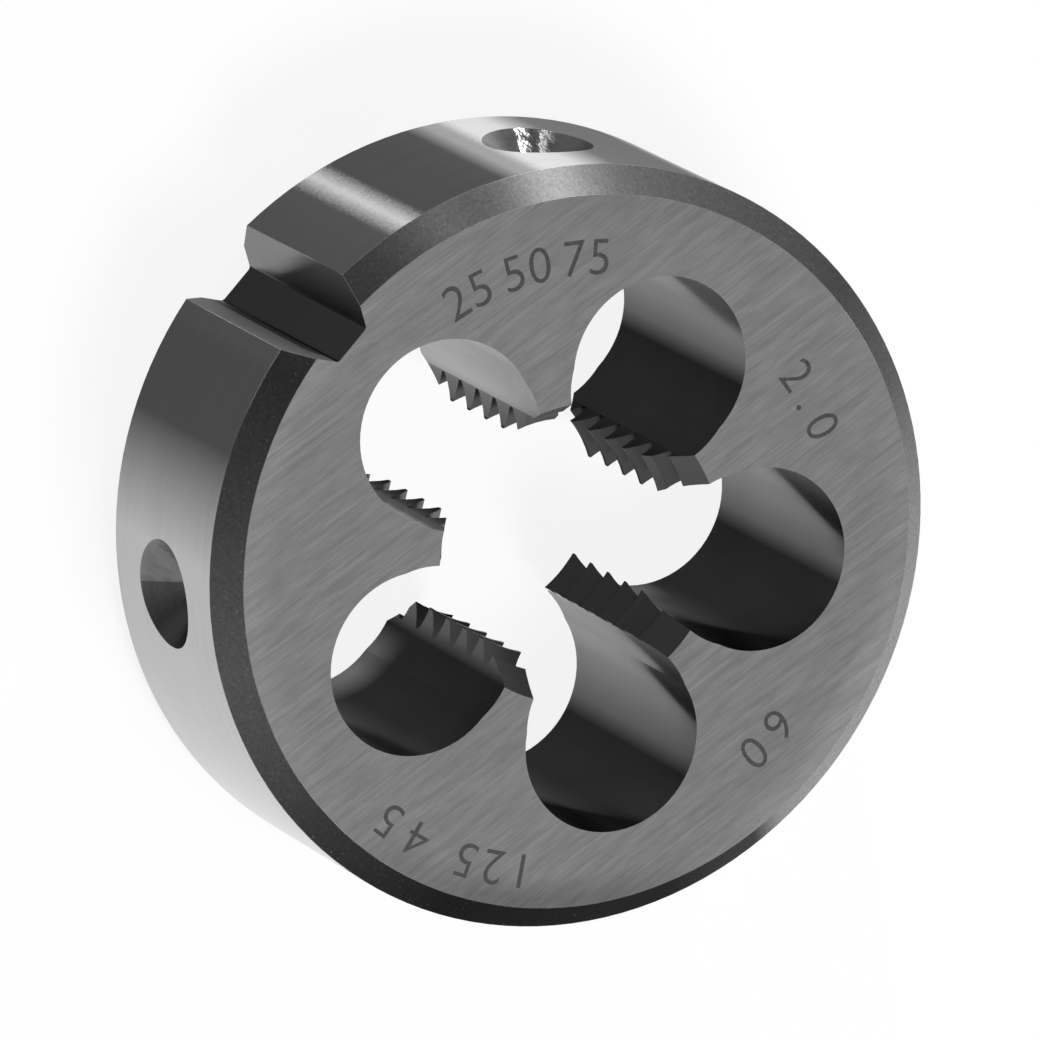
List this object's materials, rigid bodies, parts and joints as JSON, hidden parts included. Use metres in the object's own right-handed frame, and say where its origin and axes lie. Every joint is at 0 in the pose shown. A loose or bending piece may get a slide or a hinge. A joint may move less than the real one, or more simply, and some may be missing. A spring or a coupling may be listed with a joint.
{
  "type": "round threading die",
  "caption": "Round die of hardened steel that cuts a right-hand screw thread, with threaded lands between chip holes, a V slot and conical dimples in its rim.",
  "frame": {"origin": "middle of the plain back face, on the die's axis", "axes": "+Z out of the marked face along the die's axis, +X through the clamping slot"},
  "size_m": [0.0379, 0.038, 0.014],
  "materials": {
    "ground_steel": "ground and hardened high speed steel with fine diagonal grinding lines"
  },
  "bodies": {
    "root": {"threading_die": "ground_steel"}
  },
  "joints": []
}
